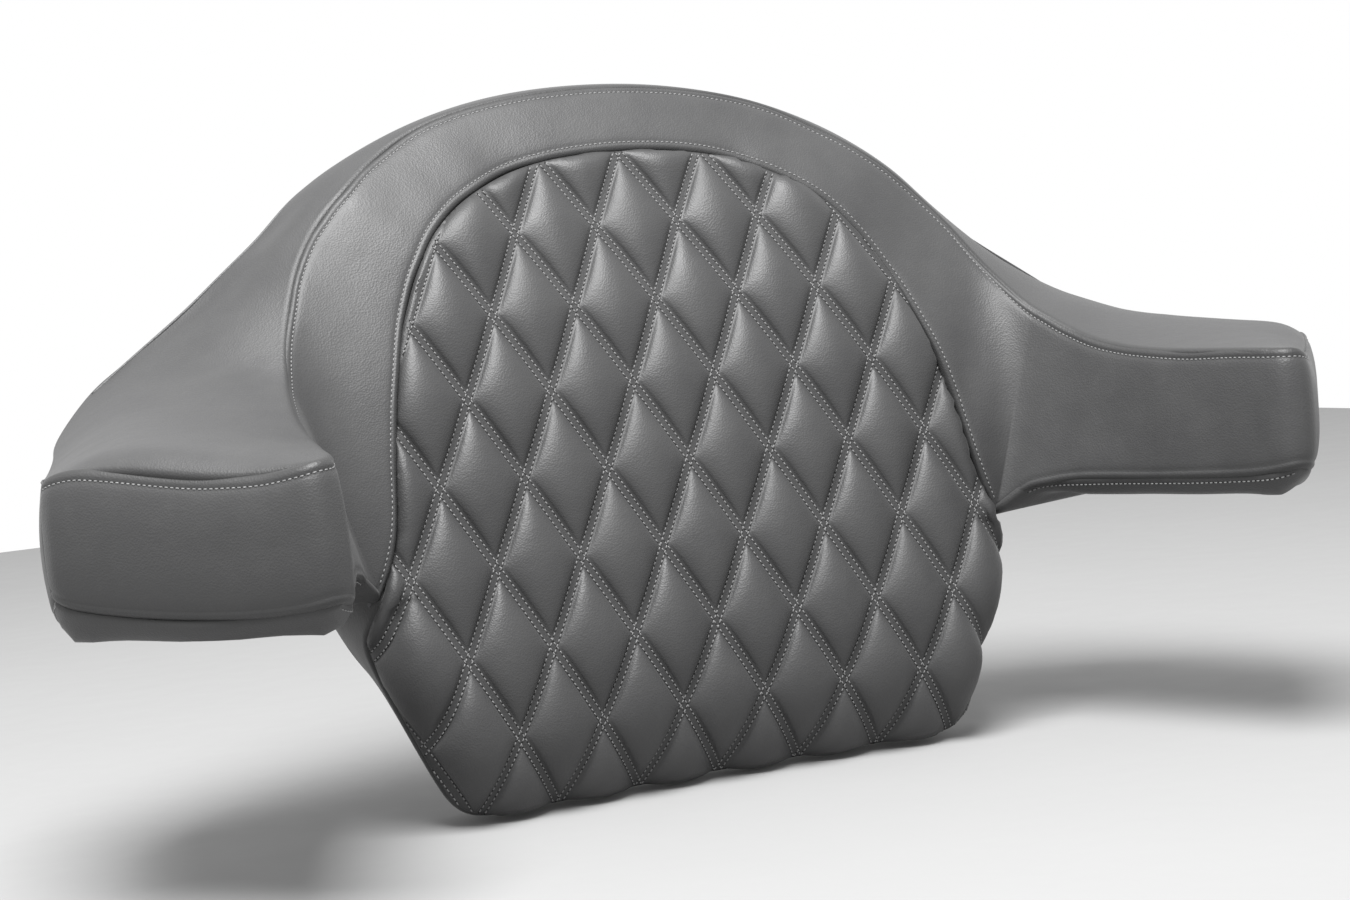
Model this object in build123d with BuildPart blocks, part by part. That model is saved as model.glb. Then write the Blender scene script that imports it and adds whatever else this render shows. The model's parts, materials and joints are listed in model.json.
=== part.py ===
from build123d import *
import os
from math import cos, radians, sin, tan

os.makedirs("parts", exist_ok=True)

# Wrap-around passenger backrest.  X runs across the bike, Y towards the tail,
# Z up.  The origin is the middle of the four-bolt pattern on the rear face.

# ---------------------------------------------------------------- dimensions
board_lean = 13.5          # rear board leans back, degrees from upright
arm_rise = 1.5             # arm underside climbs towards the front, degrees

cover_t = 1.6              # backed vinyl
seam_gap = 0.4             # parting between neighbouring panels
seam_height = 6.0          # bottom seam above the arm underside
hem_width = 26.0           # vinyl turned over the rear edge
wadding_t = 8.0            # soft layer under the quilted panel
board_t = 8.0              # moulded ABS board
board_margin = 10.0        # board edge inside the foam edge

pad_bottom = -94.6         # lowest edge of the quilted panel
pad_low_half = 129.0       # half width of the flat bottom edge
pad_low_corner = (147.0, -70.0)
pad_waist = (171.0, -9.0)  # where pad and arm underside meet
pad_waist_top = (176.0, 30.0)
pad_corner_r = 16.0

arm_low_y = -55.6          # arm underside passes through this point
arm_low_z = 22.0
arm_board_t = 8.0
arm_board_margin = 16.0
arm_tip_r = 10.0           # inner corner of the arm's slanting end
arm_corner_r = 18.0        # its outer corner
split_x = 178.0            # centre foam meets arm foam
flank_top = 128.0          # the flank's hem ends below the shoulder
flank_front = -103.0       # and its front seam is just round the outer corner

# Front profile of the centre pad at mid width, as (y, z)
pad_profile = [(-47.0, pad_bottom), (-62.4, -17.0), (-49.0, 60.0), (-26.3, 137.0),
               (3.7, 211.0), (28.0, 248.0)]
# Upper edge seen from the front, as (x, z)
dome_edge = [(0, 246.0), (62, 241.0), (103, 227.5), (140, 207.0), (163.5, 188.0),
             (193, 163.0), (231, 136.0), (271, 115.0), (303, 99.0), (345, 95.0)]
# Upper edge of the arms seen from the side, as (y, z)
arm_top_edge = [(-250, 92.0), (-200, 92.5), (-138, 95.3), (-94, 101.5), (-62, 114.0),
                (-39, 129.0), (-22, 149.0), (-8, 171.0), (4, 199.0), (22, 232.0),
                (44, 262.0)]
# Sewn edge between the top panel and the front band, as (x, z)
top_seam = [(0, 238.0), (60, 233.0), (103, 220.0), (145, 199.4), (171, 171.0),
            (187, 140.0), (198, 111.0), (211, 91.5), (245, 86.5), (290, 88.0),
            (345, 89.0)]
# Quilted panel outline, as (x, z)
insert_arch = [(0, 212.4), (41, 208.5), (77, 196.5), (108, 176.0), (122, 156.0),
               (135.5, 126.7), (143.6, 101.0), (148.1, 82.5), (151.6, 58.8),
               (157.1, 32.6), (167.4, 5.5), (171.0, -9.0)]
# Arm seen from above, as (x, y): inner face, front end, outer face
arm_plan = [(166, -60), (181, -78), (193, -110), (206, -148), (238, -226),
            (326, -119), (306, -50), (295, -12), (262, 60)]
arm_root_front = -57.0
arm_root_back = 60.0
arm_root_x = 140.0         # how far the arm block runs into the pad
plate_root_x = 100.0       # the same for the plates behind the pad

# Four-bolt pattern and hardware
bolt_circle_r = 65.0
tnut_bore_r = 3.4          # M8 thread core
tnut_barrel_r = 4.9
tnut_flange_r = 10.0
tnut_flange_t = 1.6
spacer_r = 12.0
bolt_clear_r = 4.4
liner_gap = 0.9            # liner stands on the staple crowns
liner_t = 2.4
liner_margin = 13.0
liner_screw_head_r = 4.0
liner_screw_head_t = 2.2
liner_screw_r = 1.9
liner_screw_length = 10.0

bracket_t = 4.0
bracket_width = 58.0
bracket_x = 236.0          # middle of each bracket
bracket_leg = 92.0         # along the arm
bracket_rise = 56.0        # up the board
bracket_screw_r = 3.0
bracket_screw_head_r = 6.0
bracket_nut_r = 6.0
bracket_nut_t = 5.0
arm_screw_r = 2.4
arm_screw_head_r = 4.6
arm_screw_head_t = 2.4
arm_screw_grip = 6.5

staple_inset = 19.0        # staple row in from the edge of the back
staple_crown = 11.0
staple_wire = 0.8
staple_leg = 5.0
staple_pitch = 27.0

# ------------------------------------------------------------------- planes
lean = tan(radians(board_lean))
rise = tan(radians(arm_rise))
# Local x across, local y up the rear board, local z out of the back
rear = Plane(origin=(0, 0, 0), x_dir=(-1, 0, 0), z_dir=(0, 1, -lean))
# Local x across, local z up through the arm
arm = Plane(origin=(0, arm_low_y, arm_low_z), x_dir=(1, 0, 0), z_dir=(0, rise, 1))
reach = 420.0              # longer than any part of the seat
curve_steps = 12           # points along a redrawn curve

# Depths measured out of the back from the mounting face
pad_back = -liner_gap - liner_t
board_back = pad_back - cover_t
board_front = board_back - board_t
back_shift = pad_back / cos(radians(board_lean))
arm_board_low = cover_t
arm_board_top = cover_t + arm_board_t


def mirrored(points):
    """Points with x >= 0 followed back over the centre line."""
    return [(-x, z) for x, z in reversed(points) if x > 0] + points


def pulled_in(face, plane, inset):
    """The same outline moved inwards, its curves redrawn as plain splines."""
    if inset == 0:
        return face.sketch
    with BuildSketch() as moved:
        add(face.sketch_local)
        offset(amount=-inset, mode=Mode.REPLACE)
    with BuildSketch(plane) as smaller:
        with BuildLine():
            for edge in moved.sketch.face().outer_wire().edges():
                if edge.geom_type == GeomType.OFFSET:
                    Spline(*[edge @ (i / curve_steps) for i in range(curve_steps + 1)],
                           tangents=[edge % 0, edge % 1])
                else:
                    add(edge)
        make_face()
    return smaller.sketch


# ------------------------------------------------- outer and inner envelopes
def above_underside(height):
    """Everything above a height measured from the arm undersides."""
    with BuildPart() as region:
        with BuildSketch(arm.offset(height)):
            Rectangle(reach * 2, reach * 2)
        extrude(amount=reach)
    return region.part


def pad_front_sketch(inset):
    """Centre pad seen from the front."""
    half = [(pad_low_half, pad_bottom), pad_low_corner, pad_waist, pad_waist_top,
            (split_x, 176.0)]
    with BuildSketch(Plane.XZ) as face:
        with BuildLine():
            crown = Spline(*[p for p in mirrored(dome_edge) if abs(p[0]) < 165])
            right = Polyline(crown @ 1, *reversed(half))
            left = Polyline(crown @ 0, *[(-x, z) for x, z in reversed(half)])
            Line(left @ 1, right @ 1)
        make_face()
        fillet(face.vertices().sort_by(Axis.Y)[0:4], pad_corner_r)
    return pulled_in(face, Plane.XZ, inset)


def pad_side_sketch(inset):
    """Centre pad seen from the side."""
    with BuildSketch(Plane.YZ) as face:
        with BuildLine():
            front = Spline(*pad_profile)
            Polyline(front @ 1, (lean * 290 + back_shift, 290),
                     (lean * -130 + back_shift, -130), (-40, -130), front @ 0)
        make_face()
    return pulled_in(face, Plane.YZ, inset)


def arm_plan_sketch(inset, root_x):
    """Arm seen square to its underside, left-hand side."""
    outline = [(root_x, arm_root_front), *arm_plan, (root_x, arm_root_back)]
    with BuildSketch(arm) as face:
        with BuildLine():
            Polyline(*[(x, y - arm_low_y) for x, y in outline], close=True)
        make_face()
        fillet(face.vertices().sort_by(Axis.Y)[0], arm_tip_r)
        fillet(face.vertices().sort_by(Axis.X)[-1], arm_corner_r)
    return pulled_in(face, arm, inset)


def arm_front_sketch(inset):
    """Shoulder seen from the front, left-hand side."""
    with BuildSketch(Plane.XZ) as face:
        with BuildLine():
            slope = Spline(*[p for p in dome_edge if p[0] > 90])
            Polyline(slope @ 1, (345, -60), (100, -60), slope @ 0)
        make_face()
    return pulled_in(face, Plane.XZ, inset)


def arm_side_sketch(inset):
    """Arm and shoulder seen from the side, open below."""
    with BuildSketch(Plane.YZ) as face:
        with BuildLine():
            top = Spline(*arm_top_edge)
            Polyline(top @ 1, (lean * 262 + back_shift, 262),
                     (lean * -80 + back_shift, -80), (-250, -80), top @ 0)
        make_face()
    return pulled_in(face, Plane.YZ, inset)


def pad_block(inset):
    """Centre pad with its faces pulled in."""
    with BuildPart() as block:
        extrude(pad_front_sketch(inset), amount=reach / 2, both=True)
        extrude(pad_side_sketch(inset), amount=reach, both=True, mode=Mode.INTERSECT)
    return block.part


def arm_block(inset):
    """Left arm with its faces pulled in."""
    with BuildPart() as block:
        extrude(arm_plan_sketch(inset, arm_root_x), amount=300)
        extrude(arm_front_sketch(inset), amount=reach, both=True, mode=Mode.INTERSECT)
        extrude(arm_side_sketch(inset), amount=reach, both=True, mode=Mode.INTERSECT)
        add(above_underside(inset), mode=Mode.INTERSECT)
    return block.part


def envelope(inset):
    """Whole seat with its faces pulled in."""
    side = arm_block(inset)
    with BuildPart() as whole:
        add(pad_block(inset))
        add(side)
        add(mirror(side, about=Plane.YZ))
    return whole.part


def back_outline(inset, depth, thick):
    """Plate behind the seat, following its rear outline."""
    with BuildPart() as side:
        extrude(arm_plan_sketch(inset, plate_root_x), amount=300)
        extrude(arm_front_sketch(inset), amount=reach, both=True, mode=Mode.INTERSECT)
        add(above_underside(inset), mode=Mode.INTERSECT)
    with BuildPart() as plate:
        extrude(pad_front_sketch(inset), amount=reach / 2, both=True)
        add(side.part)
        add(mirror(side.part, about=Plane.YZ))
        with BuildSketch(rear.offset(depth)):
            Rectangle(reach * 2, reach * 2)
        extrude(amount=-thick, mode=Mode.INTERSECT)
    return plate.part


# ------------------------------------------------------- cutters for panels
def above_top_seam(shift):
    """Everything above the top seam."""
    with BuildPart() as region:
        with BuildSketch(Plane.XZ):
            with BuildLine():
                seam = Spline(*[(x, z + shift) for x, z in mirrored(top_seam)])
                Polyline(seam @ 1, (345, 400), (-345, 400), seam @ 0)
            make_face()
        extrude(amount=reach, both=True)
    return region.part


def below_bottom_seam(shift):
    """Everything below the seam round the arm undersides."""
    with BuildPart() as region:
        with BuildSketch(arm.offset(seam_height + shift)):
            Rectangle(reach * 2, reach * 2)
        extrude(amount=-reach)
    return region.part


def front_of(depth):
    """Everything in front of a depth measured from the mounting face."""
    with BuildPart() as region:
        with BuildSketch(rear.offset(depth)):
            Rectangle(reach * 2, reach * 3)
        extrude(amount=-reach)
    return region.part


def quilt_region(inset):
    """Quilted panel outline, carried forwards and back."""
    low = [(pad_low_half - 1, pad_bottom + 3), (pad_low_corner[0] - 3, pad_low_corner[1]),
           insert_arch[-1]]
    with BuildSketch(Plane.XZ) as face:
        with BuildLine():
            arch = Spline(*mirrored(insert_arch))
            right = Polyline(arch @ 1, *reversed(low[0:2]))
            left = Polyline(arch @ 0, *[(-x, z) for x, z in reversed(low[0:2])])
            Line(left @ 1, right @ 1)
        make_face()
        fillet(face.vertices().sort_by(Axis.Y)[0:4], pad_corner_r)
    with BuildPart() as region:
        extrude(pulled_in(face, Plane.XZ, inset), amount=reach, both=True)
    return region.part


def top_zone(shift):
    """Everything above the top seam, and the hem behind the shoulders."""
    with BuildPart() as behind:
        with BuildSketch(rear.offset(board_front - 4)):
            Rectangle(reach * 2, reach * 3)
        extrude(amount=reach)
        with BuildSketch(Plane.XY.offset(flank_top + shift)):
            Rectangle(reach * 2, reach * 2)
        extrude(amount=reach, mode=Mode.INTERSECT)
    with BuildPart() as region:
        add(above_top_seam(shift))
        add(behind.part)
    return region.part


def outer_side(shift):
    """Outer flank and root of the left arm, up to the shoulder."""
    with BuildPart() as region:
        with BuildSketch(Plane.XY.offset(flank_top)):
            with BuildLine():
                Polyline((420, flank_front + shift), (300, flank_front + shift),
                         (255 + shift, -60), (split_x + shift, -20),
                         (split_x + shift, 120), (420, 120), close=True)
            make_face()
        extrude(amount=-reach)
    return region.part


def centre_column(half):
    """Everything between the two arms."""
    with BuildPart() as region:
        Box(half * 2, reach * 2, reach * 2)
    return region.part


def grid_cylinders(plane, spots, radius, depth):
    """Equal round bars on a plane; a negative depth goes into it."""
    with BuildPart() as bars:
        with BuildSketch(plane):
            with Locations(*spots):
                Circle(radius)
        extrude(amount=depth)
    return bars.part


half_gap = seam_gap / 2
outer = envelope(0)
inner = envelope(cover_t)
with BuildPart() as skin_shell:
    add(outer)
    add(inner, mode=Mode.SUBTRACT)
skin = skin_shell.part
hem_window = back_outline(hem_width, pad_back + 1, cover_t + 2)

# -------------------------------------------------------- fixings, as layouts
bolt_reach = bolt_circle_r * sin(radians(45))
mount_spots = [(x * bolt_reach, z * bolt_reach) for x in (-1, 1) for z in (-1, 1)]

# Where the top of the arm board meets the front of the rear board, as (y, z)
board_front_y = board_front / cos(radians(board_lean))
arm_top_z = arm_low_z + arm_board_top / cos(radians(arm_rise))
corner_z = (arm_top_z + rise * (arm_low_y - board_front_y)) / (1 + rise * lean)
corner_y = lean * corner_z + board_front_y
corner_up = corner_z / cos(radians(board_lean)) + board_front * lean
bracket_spots = [(side * (bracket_x + across), corner_up + up)
                 for side in (-1, 1) for across in (-17, 17) for up in (22, 43)]
corner_along = (corner_y - arm_low_y) / cos(radians(arm_rise)) - arm_board_top * rise
arm_spots = [(side * (bracket_x + across), corner_along - along)
             for side in (-1, 1) for across in (-17, 17) for along in (32, 74)]
liner_spots = [(0, -58), (0, 205)]
liner_spots += [(side * x, z) for side in (-1, 1)
                for x, z in ((90, -54), (124, 30), (86, 178), (150, 122), (236, 84))]

# ------------------------------------------------------------------ hardware
with BuildPart() as mount_tnuts:
    add(grid_cylinders(rear.offset(board_front), mount_spots, tnut_flange_r, -tnut_flange_t))
    add(grid_cylinders(rear.offset(board_front), mount_spots, tnut_barrel_r, board_t - 1))
    add(grid_cylinders(rear.offset(board_front - tnut_flange_t), mount_spots, tnut_bore_r,
                       board_t + tnut_flange_t), mode=Mode.SUBTRACT)

with BuildPart() as mount_spacers:
    add(grid_cylinders(rear.offset(board_back), mount_spots, spacer_r, -board_back))
    add(grid_cylinders(rear.offset(board_back), mount_spots, bolt_clear_r, -board_back),
        mode=Mode.SUBTRACT)

with BuildPart() as bracket_screws:
    with BuildSketch(rear.offset(board_back)):
        with Locations(*bracket_spots):
            Circle(bracket_screw_head_r)
    extrude(amount=-bracket_screw_r, taper=45)
    add(grid_cylinders(rear.offset(board_back), bracket_spots, bracket_screw_r,
                       -board_t - bracket_t - bracket_nut_t - 1))

with BuildPart() as bracket_nuts:
    with BuildSketch(rear.offset(board_front - bracket_t)):
        with Locations(*bracket_spots):
            RegularPolygon(bracket_nut_r, 6)
            Circle(bracket_screw_r, mode=Mode.SUBTRACT)
    extrude(amount=-bracket_nut_t)

with BuildPart() as arm_screws:
    arm_face = arm.offset(arm_board_top + bracket_t)
    add(grid_cylinders(arm_face, arm_spots, arm_screw_head_r, arm_screw_head_t))
    add(grid_cylinders(arm_face, arm_spots, arm_screw_r, -bracket_t - arm_screw_grip))

with BuildPart() as liner_screws:
    with BuildSketch(rear):
        with Locations(*liner_spots):
            Circle(liner_screw_head_r)
    extrude(amount=liner_screw_r - liner_screw_head_r, taper=45)
    add(grid_cylinders(rear, liner_spots, liner_screw_r, -liner_screw_length))

hem_line = back_outline(staple_inset, pad_back, cover_t)
hem_faces = hem_line.faces().sort_by(SortBy.AREA)[-2:]
hem_wire = hem_faces.sort_by(Axis((0, 0, 0), rear.z_dir))[-1].outer_wire()
staple_count = round(hem_wire.length / staple_pitch)
staple_places = [i / staple_count for i in range(staple_count)]
staple_places = [at for at in staple_places if hem_wire.position_at(at).X > staple_crown]
with BuildPart() as staples_left:
    for at in staple_places:
        where = hem_wire.position_at(at)
        along = hem_wire.tangent_at(at)
        with Locations(Plane(origin=where, x_dir=along, z_dir=rear.z_dir)):
            Box(staple_crown, staple_wire, staple_wire,
                align=(Align.CENTER, Align.CENTER, Align.MIN))
            with Locations((staple_wire / 2 - staple_crown / 2, 0, 0),
                           (staple_crown / 2 - staple_wire / 2, 0, 0)):
                Box(staple_wire, staple_wire, staple_leg,
                    align=(Align.CENTER, Align.CENTER, Align.MAX))

with BuildPart() as staples:
    add(staples_left.part)
    mirror(about=Plane.YZ)

# -------------------------------------------------------------- rigid boards
with BuildPart() as rear_board:
    add(back_outline(cover_t + board_margin, board_back, board_t))
    for tool in (mount_tnuts, bracket_screws, liner_screws, staples):
        add(tool.part, mode=Mode.SUBTRACT)
    add(grid_cylinders(rear.offset(board_back), mount_spots, tnut_barrel_r, -board_t),
        mode=Mode.SUBTRACT)

with BuildPart() as rear_liner:
    add(back_outline(liner_margin, 0, liner_t))
    add(mount_spacers.part, mode=Mode.SUBTRACT)
    add(liner_screws.part, mode=Mode.SUBTRACT)
    add(grid_cylinders(rear, mount_spots, spacer_r, -liner_t), mode=Mode.SUBTRACT)

with BuildPart() as arm_board_left:
    extrude(arm_plan_sketch(arm_board_margin, arm_root_x), amount=arm_board_top)
    add(above_underside(arm_board_low), mode=Mode.INTERSECT)
    add(front_of(board_front), mode=Mode.INTERSECT)
    add(centre_column(split_x + 2), mode=Mode.SUBTRACT)
    add(arm_screws.part, mode=Mode.SUBTRACT)

with BuildPart() as arm_board_right:
    mirror(arm_board_left.part, about=Plane.YZ)

with BuildPart() as bracket_left:
    with BuildSketch(Plane.YZ.offset(bracket_x - bracket_width / 2)):
        with BuildLine():
            ahead = Vector(-cos(radians(arm_rise)), sin(radians(arm_rise)))
            up = Vector(sin(radians(board_lean)), cos(radians(board_lean)))
            square_up = Vector(sin(radians(arm_rise)), cos(radians(arm_rise)))
            square_out = Vector(-cos(radians(board_lean)), sin(radians(board_lean)))
            corner = Vector(corner_y, corner_z)
            Polyline(corner, corner + ahead * bracket_leg,
                     corner + ahead * bracket_leg + square_up * bracket_t,
                     corner + (ahead + up) * (bracket_t / cos(radians(board_lean - arm_rise))),
                     corner + up * bracket_rise + square_out * bracket_t,
                     corner + up * bracket_rise, close=True)
        make_face()
    extrude(amount=bracket_width)
    add(bracket_screws.part, mode=Mode.SUBTRACT)
    add(arm_screws.part, mode=Mode.SUBTRACT)

with BuildPart() as bracket_right:
    mirror(bracket_left.part, about=Plane.YZ)

# --------------------------------------------------------------- soft filling
with BuildPart() as wadding:
    add(pad_block(cover_t))
    add(pad_block(cover_t + wadding_t), mode=Mode.SUBTRACT)
    add(quilt_region(4), mode=Mode.INTERSECT)
    add(front_of(board_front - 6), mode=Mode.INTERSECT)

with BuildPart() as hardware_pockets:
    add(back_outline(cover_t + board_margin, board_back, board_t))
    add(grid_cylinders(rear.offset(board_front), mount_spots, tnut_flange_r + 2, -12))
    with BuildSketch(rear.offset(board_front)):
        with Locations((bracket_x, corner_up + bracket_rise / 2),
                       (-bracket_x, corner_up + bracket_rise / 2)):
            Rectangle(bracket_width + 4, bracket_rise + 6)
    extrude(amount=-bracket_t - bracket_nut_t - 4)
    with BuildSketch(arm.offset(arm_board_top)):
        with Locations((bracket_x, corner_along - bracket_leg / 2),
                       (-bracket_x, corner_along - bracket_leg / 2)):
            Rectangle(bracket_width + 4, bracket_leg + 6)
    extrude(amount=bracket_t + arm_screw_head_t + 2)

with BuildPart() as foam_centre:
    add(inner)
    add(centre_column(split_x - 0.2), mode=Mode.INTERSECT)
    add(wadding.part, mode=Mode.SUBTRACT)
    add(hardware_pockets.part, mode=Mode.SUBTRACT)

with BuildPart() as foam_arm_left:
    add(inner)
    add(centre_column(split_x), mode=Mode.SUBTRACT)
    with BuildSketch(Plane.YZ):
        Rectangle(reach * 2, reach * 2)
    extrude(amount=reach, mode=Mode.INTERSECT)
    extrude(arm_plan_sketch(arm_board_margin, arm_root_x), amount=arm_board_top,
            mode=Mode.SUBTRACT)
    add(hardware_pockets.part, mode=Mode.SUBTRACT)

with BuildPart() as foam_arm_right:
    mirror(foam_arm_left.part, about=Plane.YZ)

# --------------------------------------------------------------- vinyl panels
with BuildPart() as top_panel:
    add(skin)
    add(top_zone(half_gap), mode=Mode.INTERSECT)
    add(hem_window, mode=Mode.SUBTRACT)
    add(staples.part, mode=Mode.SUBTRACT)

with BuildPart() as quilted_panel:
    add(skin)
    add(quilt_region(half_gap + seam_gap), mode=Mode.INTERSECT)
    add(front_of(board_front - 4), mode=Mode.INTERSECT)

with BuildPart() as front_band:
    add(skin)
    add(above_top_seam(-half_gap), mode=Mode.SUBTRACT)
    add(below_bottom_seam(half_gap), mode=Mode.SUBTRACT)
    add(quilt_region(half_gap), mode=Mode.SUBTRACT)
    add(outer_side(-half_gap), mode=Mode.SUBTRACT)
    add(mirror(outer_side(-half_gap), about=Plane.YZ), mode=Mode.SUBTRACT)
    add(front_of(board_front - 4), mode=Mode.INTERSECT)

with BuildPart() as flank_left:
    add(skin)
    add(outer_side(half_gap), mode=Mode.INTERSECT)
    add(top_zone(-half_gap), mode=Mode.SUBTRACT)
    add(below_bottom_seam(half_gap), mode=Mode.SUBTRACT)
    add(hem_window, mode=Mode.SUBTRACT)
    add(staples.part, mode=Mode.SUBTRACT)

with BuildPart() as flank_right:
    mirror(flank_left.part, about=Plane.YZ)

with BuildPart() as underside_left:
    add(skin)
    add(below_bottom_seam(-half_gap), mode=Mode.INTERSECT)
    add(centre_column(split_x), mode=Mode.SUBTRACT)
    with BuildSketch(Plane.YZ):
        Rectangle(reach * 2, reach * 2)
    extrude(amount=reach, mode=Mode.INTERSECT)
    add(hem_window, mode=Mode.SUBTRACT)
    add(staples.part, mode=Mode.SUBTRACT)

with BuildPart() as underside_right:
    mirror(underside_left.part, about=Plane.YZ)

with BuildPart() as lower_zone:
    add(below_bottom_seam(-half_gap))
    with BuildSketch(rear.offset(board_front - 4)):
        Rectangle(reach * 2, reach * 3)
    extrude(amount=reach)
    add(top_zone(-half_gap), mode=Mode.SUBTRACT)

with BuildPart() as lower_gusset:
    add(skin)
    add(centre_column(split_x - seam_gap), mode=Mode.INTERSECT)
    add(lower_zone.part, mode=Mode.INTERSECT)
    add(quilt_region(half_gap) & front_of(board_front - 4), mode=Mode.SUBTRACT)
    add(hem_window, mode=Mode.SUBTRACT)
    add(staples.part, mode=Mode.SUBTRACT)

# -------------------------------------------------------------------- export
nodes = {
    "rear_board": rear_board, "rear_liner": rear_liner,
    "arm_board_left": arm_board_left, "arm_board_right": arm_board_right,
    "bracket_left": bracket_left, "bracket_right": bracket_right,
    "bracket_screws": bracket_screws, "bracket_nuts": bracket_nuts,
    "arm_screws": arm_screws, "mount_tnuts": mount_tnuts,
    "mount_spacers": mount_spacers, "liner_screws": liner_screws, "staples": staples,
    "foam_centre": foam_centre, "foam_arm_left": foam_arm_left,
    "foam_arm_right": foam_arm_right, "wadding": wadding,
    "quilted_panel": quilted_panel, "front_band": front_band, "top_panel": top_panel,
    "flank_left": flank_left, "flank_right": flank_right,
    "underside_left": underside_left, "underside_right": underside_right,
    "lower_gusset": lower_gusset,
}
for name, builder in nodes.items():
    builder.part.label = name
    export_step(builder.part, f"parts/{name}.step")
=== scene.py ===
import json
import math

import bmesh
import bpy
import numpy as np
from mathutils import Matrix, Vector
from mathutils.bvhtree import BVHTree


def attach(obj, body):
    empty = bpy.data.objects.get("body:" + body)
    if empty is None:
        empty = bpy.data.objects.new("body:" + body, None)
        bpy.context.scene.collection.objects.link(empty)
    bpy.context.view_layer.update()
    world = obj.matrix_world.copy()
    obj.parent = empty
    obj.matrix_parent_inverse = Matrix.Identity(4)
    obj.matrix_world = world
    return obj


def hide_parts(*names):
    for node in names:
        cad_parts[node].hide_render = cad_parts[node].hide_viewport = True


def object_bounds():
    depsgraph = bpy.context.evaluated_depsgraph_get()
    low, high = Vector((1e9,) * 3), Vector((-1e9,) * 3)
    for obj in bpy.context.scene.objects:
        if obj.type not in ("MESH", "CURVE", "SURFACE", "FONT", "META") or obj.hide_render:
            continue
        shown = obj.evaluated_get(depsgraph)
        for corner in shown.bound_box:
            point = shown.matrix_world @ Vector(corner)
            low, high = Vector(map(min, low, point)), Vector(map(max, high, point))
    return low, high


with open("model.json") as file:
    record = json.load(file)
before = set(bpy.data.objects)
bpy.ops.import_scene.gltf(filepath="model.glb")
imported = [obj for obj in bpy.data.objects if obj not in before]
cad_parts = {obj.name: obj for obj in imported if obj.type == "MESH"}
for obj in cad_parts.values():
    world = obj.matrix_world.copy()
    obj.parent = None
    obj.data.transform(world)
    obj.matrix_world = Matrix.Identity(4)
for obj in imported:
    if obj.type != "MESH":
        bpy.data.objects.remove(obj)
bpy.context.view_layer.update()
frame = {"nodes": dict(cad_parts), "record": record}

# Lengths below are in millimetres in the frame's axes: X across the seat, Y towards the
# tail, Z up, with the origin in the middle of the bolt pattern.  MM turns them into metres.
MM = 0.001

# ------------------------------------------------------------------ driving dimensions
SHELL = 4.0            # cover with its foam backing, at the middle of a panel
COVER = 1.6            # the vinyl alone
LIP_R = 3.2            # how far from a seam the cover starts to roll in
LIP_DROP = 2.3         # how deep it rolls
FOLD_R = 5.0           # bend over the rear edge
HEM = 15.0             # vinyl turned in behind
TOPSTITCH = 4.3        # topstitching from its seam
STEP = 2.4             # spacing of the surface grid
PUFF = 6.6             # rise of a quilted diamond
CHANNEL = 2.3          # half width of the flat strip along a quilting line
ROW_GAP = 1.6          # each quilting row from the line's middle
THREAD = 0.36          # radius of the sewing thread
WADDING = 6.0
FOAM_GAP = 5.0         # foam stays this far inside the cover
FOAM_REACH = 25.0      # only foam this close to a cover is settled against it
FOAM_VOXEL = 6.0       # grid size of the softened foam
BOARD_CLEAR = 21.4     # height at which the cover passes under the arm's board
BOARD_SAG = 0.6        # how far it may hang below that
EDGE_ROOMS = (11, 20)  # how far in from its seams it comes down to that height
UNDER_HEM = 20.0       # vinyl turned in behind, under the arms
SNAP = 7.0             # quilt grid points this far outside its edge are drawn back to it

bolt_axis = Vector(frame["record"]["mounts"][0]["axis"])
LEAN = -bolt_axis.z / bolt_axis.y
CLOTH_BACK = 3.4       # the hem's outer face in front of the mounting face


def back_y(z, ahead=CLOTH_BACK):
    """How far back the leaning rear face is at a height."""
    return LEAN * z - ahead


def rear_edge(points):
    """Outline points (x, z) laid where the cover starts to fold round the rear edge."""
    return [(x, back_y(z, CLOTH_BACK + FOLD_R), z) for x, z in points]


# Corners of the rear outline beside and under the arm, as (x, z)
REAR_TOP = (268, 117)
REAR_SIDE = (284, 76)
REAR_OUTER = (289, 20)
REAR_MIDDLE = (240, 17)
REAR_INNER = (176, 15)

# ------------------------------------------------------------------------ seam outlines
# Seam round the quilted panel, from the crown to the waist, and matching points on the
# top seam.  Both are listed for the +X half.
insert_seam = [
    (0, 4, 212), (21, 3.8, 211.2), (42, 3.2, 208.7), (64.3, 1.8, 203), (77, -2.6, 197.7),
    (88.7, -6.2, 191.6), (98.9, -10.8, 184.5), (108.8, -15.5, 175), (116.1, -19.9, 165),
    (121.7, -22.8, 156.3), (126.6, -26.3, 147), (131, -29.9, 137.8), (135.5, -35, 126.7),
    (140, -40.7, 112.9), (143.6, -45.2, 101.1), (146.9, -49.3, 87.4),
    (149.8, -52.8, 71.6), (151.6, -55.5, 58.8), (154.9, -58.6, 40.7),
    (160, -58.6, 24.6), (164.5, -56.8, 13.5)]
top_seam_dome = [
    (0, 27, 245.3), (25, 26.8, 244.4), (50, 26, 241.8), (77, 24.5, 236.4),
    (92, 23, 231.8), (106, 20.2, 225.4), (119, 16, 217.9), (132, 10.5, 209.8),
    (142, 5, 201.7), (149.8, 2.3, 195.4), (156.2, -0.1, 189), (162, -2, 183),
    (167.5, -5.2, 176), (172.5, -9.6, 168.5), (177, -14.4, 160.9), (181, -20, 152.2),
    (184.6, -25.5, 144.3), (187.5, -30.5, 138), (191, -38.2, 129.8), (194, -47, 122),
    (197, -57, 115)]
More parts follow.
